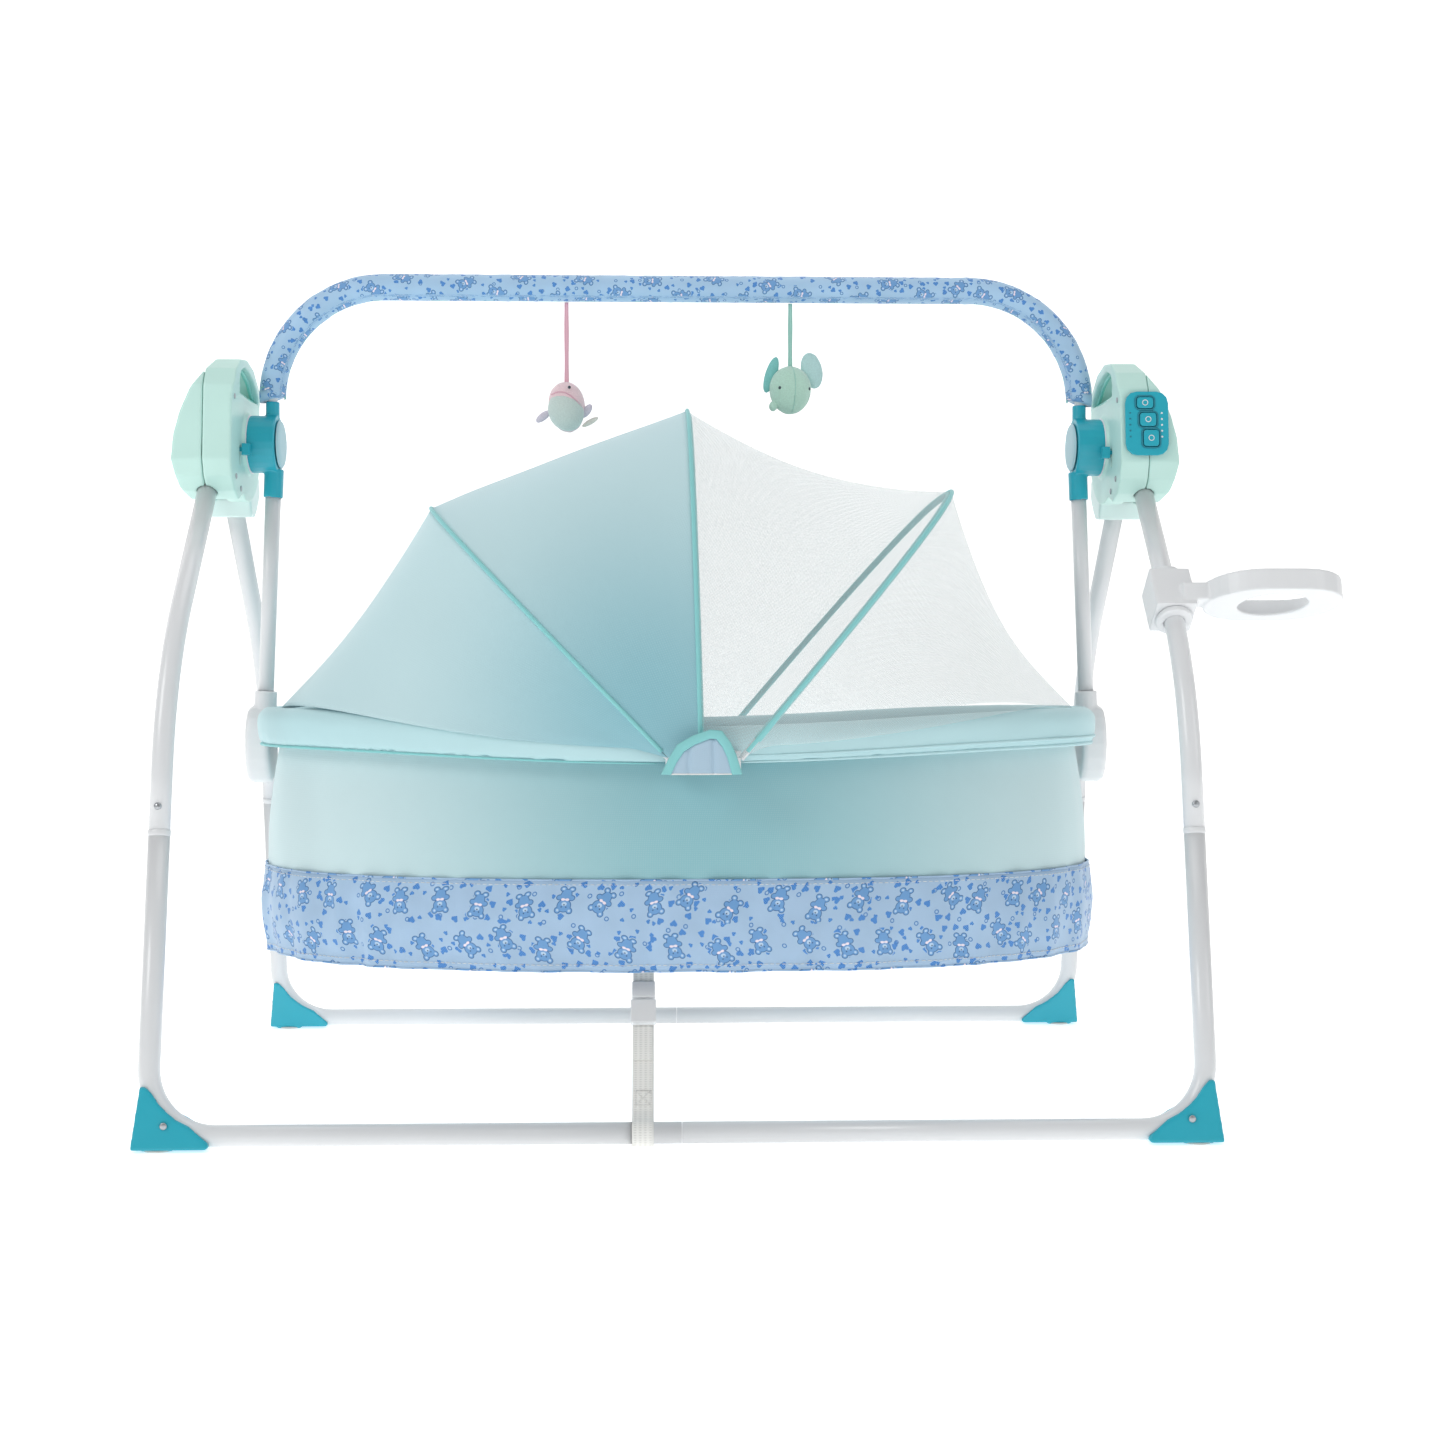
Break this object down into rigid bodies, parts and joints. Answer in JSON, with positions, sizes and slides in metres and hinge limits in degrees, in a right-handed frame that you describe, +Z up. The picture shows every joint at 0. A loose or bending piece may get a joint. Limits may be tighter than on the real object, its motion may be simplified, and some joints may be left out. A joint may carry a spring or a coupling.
{
  "type": "baby swing",
  "caption": "Electric baby swing: fabric cradle with folding canopy, net and toy bar hung between two drive housings on a folding white tube stand, with a side tray.",
  "frame": {"origin": "on the floor, under the centre of the bounding box", "axes": "+X to the tray side along the cradle, +Y from the front (control panel side) to the back, +Z up"},
  "size_m": [1.176, 0.651, 0.8624],
  "materials": {
    "white_steel": "gloss powder coat",
    "white_plastic": "satin moulded",
    "mint_plastic": "satin moulded",
    "pale_mint_plastic": "satin moulded",
    "teal_plastic": "satin moulded",
    "cap_plastic": "matte moulded",
    "steel": "plain",
    "board": "circuit board",
    "aqua_fabric": "brushed polyester",
    "print_fabric": "printed polyester",
    "net_fabric": "fine mesh",
    "pink_plush": "short plush",
    "mint_plush": "short plush",
    "webbing": "woven webbing"
  },
  "bodies": {
    "stand": {"housing_inner_left": "mint_plastic", "housing_inner_right": "mint_plastic", "housing_outer_left": "mint_plastic", "housing_outer_right": "mint_plastic", "front_upper_leg_left": "white_steel", "front_upper_leg_right": "white_steel", "front_lower_frame_left": "white_steel", "front_lower_frame_right": "white_steel", "front_foot_left": "teal_plastic", "front_foot_right": "teal_plastic", "control_panel": "teal_plastic", "drive_board": "board", "tray_clamp": "white_plastic"},
    "rear_stand": {"rear_knuckle_left": "pale_mint_plastic", "rear_knuckle_right": "pale_mint_plastic", "rear_upper_leg_left": "white_steel", "rear_upper_leg_right": "white_steel", "rear_lower_frame_left": "white_steel", "rear_lower_frame_right": "white_steel", "rear_foot_left": "teal_plastic", "rear_foot_right": "teal_plastic"},
    "swing": {"hub_left": "teal_plastic", "hub_right": "teal_plastic", "hub_cap_left": "cap_plastic", "hub_cap_right": "cap_plastic", "axle_left": "steel", "axle_right": "steel", "swing_arm_left": "white_steel", "swing_arm_right": "white_steel", "rim_hub_left": "white_plastic", "rim_hub_right": "white_plastic", "rim_tube": "steel", "rim_cover": "aqua_fabric", "basket": "aqua_fabric", "basket_skirt": "print_fabric", "mattress": "aqua_fabric", "canopy_bracket_front": "white_plastic", "canopy_bracket_rear": "white_plastic", "pocket_front": "print_fabric", "pocket_rear": "print_fabric", "buckle_plug": "white_plastic"},
    "toy_bar": {"toy_bar": "white_steel", "toy_bar_cover": "print_fabric"},
    "whale": {"whale_toy": "pink_plush"},
    "elephant": {"elephant_toy": "mint_plush"},
    "head_rib": {"canopy_rib_1": "white_steel", "canopy_head_panel": "aqua_fabric"},
    "top_rib": {"canopy_rib_2": "white_steel", "canopy_top_panel": "aqua_fabric"},
    "foot_rib": {"canopy_rib_3": "white_steel", "canopy_net_panel": "net_fabric", "canopy_foot_net": "net_fabric"},
    "tray": {"tray": "white_plastic"},
    "latch_left": {"fold_latch_left": "teal_plastic"},
    "latch_right": {"fold_latch_right": "teal_plastic"},
    "timer_button": {"button_timer": "teal_plastic"},
    "speed_button": {"button_speed": "teal_plastic"},
    "power_button": {"button_power": "teal_plastic"},
    "lock_strap": {"lock_strap": "webbing", "buckle_socket": "white_plastic"}
  },
  "joints": [
    {"name": "rear_stand_fold", "type": "hinge", "parent": "stand", "child": "rear_stand", "pos_m": [0, 0, 0.68], "axis": [1, 0, 0], "range_deg": [-44, 0]},
    {"name": "swing_rock", "type": "hinge", "parent": "stand", "child": "swing", "pos_m": [0, 0, 0.68], "axis": [1, 0, 0], "range_deg": [-15, 15]},
    {"name": "toy_bar_lift", "type": "slide", "parent": "swing", "child": "toy_bar", "axis": [0, 0, 1], "range_m": [0, 0.04]},
    {"name": "whale_sway", "type": "hinge", "parent": "toy_bar", "child": "whale", "pos_m": [-0.188, 0, 0.833], "axis": [1, 0, 0], "range_deg": [-30, 30]},
    {"name": "elephant_sway", "type": "hinge", "parent": "toy_bar", "child": "elephant", "pos_m": [0.052, 0, 0.833], "axis": [1, 0, 0], "range_deg": [-30, 30]},
    {"name": "head_rib_fold", "type": "hinge", "parent": "swing", "child": "head_rib", "pos_m": [-0.02, 0, 0.352], "axis": [0, 1, 0], "range_deg": [-22, 0], "deforming": ["canopy_head_panel", "canopy_top_panel", "canopy_net_panel", "canopy_foot_net"]},
    {"name": "top_rib_fold", "type": "hinge", "parent": "head_rib", "child": "top_rib", "pos_m": [-0.02, 0, 0.352], "axis": [0, 1, 0], "range_deg": [-35.5, 0], "deforming": ["canopy_top_panel", "canopy_net_panel"]},
    {"name": "foot_rib_fold", "type": "hinge", "parent": "top_rib", "child": "foot_rib", "pos_m": [-0.02, 0, 0.352], "axis": [0, 1, 0], "range_deg": [-35.5, 0], "deforming": ["canopy_net_panel", "canopy_foot_net"]},
    {"name": "tray_swivel", "type": "hinge", "parent": "stand", "child": "tray", "pos_m": [0.4206, -0.1635, 0.5086], "axis": [0, 0.6669, 0.7452], "range_deg": [-60, 20]},
    {"name": "latch_left_slide", "type": "slide", "parent": "stand", "child": "latch_left", "axis": [0, 0, 1], "range_m": [-0.012, 0]},
    {"name": "latch_right_slide", "type": "slide", "parent": "stand", "child": "latch_right", "axis": [0, 0, 1], "range_m": [-0.012, 0]},
    {"name": "timer_press", "type": "slide", "parent": "stand", "child": "timer_button", "axis": [0, 0.9959, -0.0906], "range_m": [0, 0.0015], "stiffness_N_per_m": 800},
    {"name": "speed_press", "type": "slide", "parent": "stand", "child": "speed_button", "axis": [0, 0.9959, -0.0906], "range_m": [0, 0.0015], "stiffness_N_per_m": 800},
    {"name": "power_press", "type": "slide", "parent": "stand", "child": "power_button", "axis": [0, 0.9959, -0.0906], "range_m": [0, 0.0015], "stiffness_N_per_m": 800},
    {"name": "lock_strap_drop", "type": "hinge", "parent": "stand", "child": "lock_strap", "pos_m": [-0.104, -0.31, 0.012], "axis": [1, 0, 0], "range_deg": [-50, 0]}
  ],
  "couplings": [
    {"joint": "top_rib_fold", "follows": "head_rib_fold", "ratio": 1.6},
    {"joint": "foot_rib_fold", "follows": "head_rib_fold", "ratio": 1.6}
  ]
}
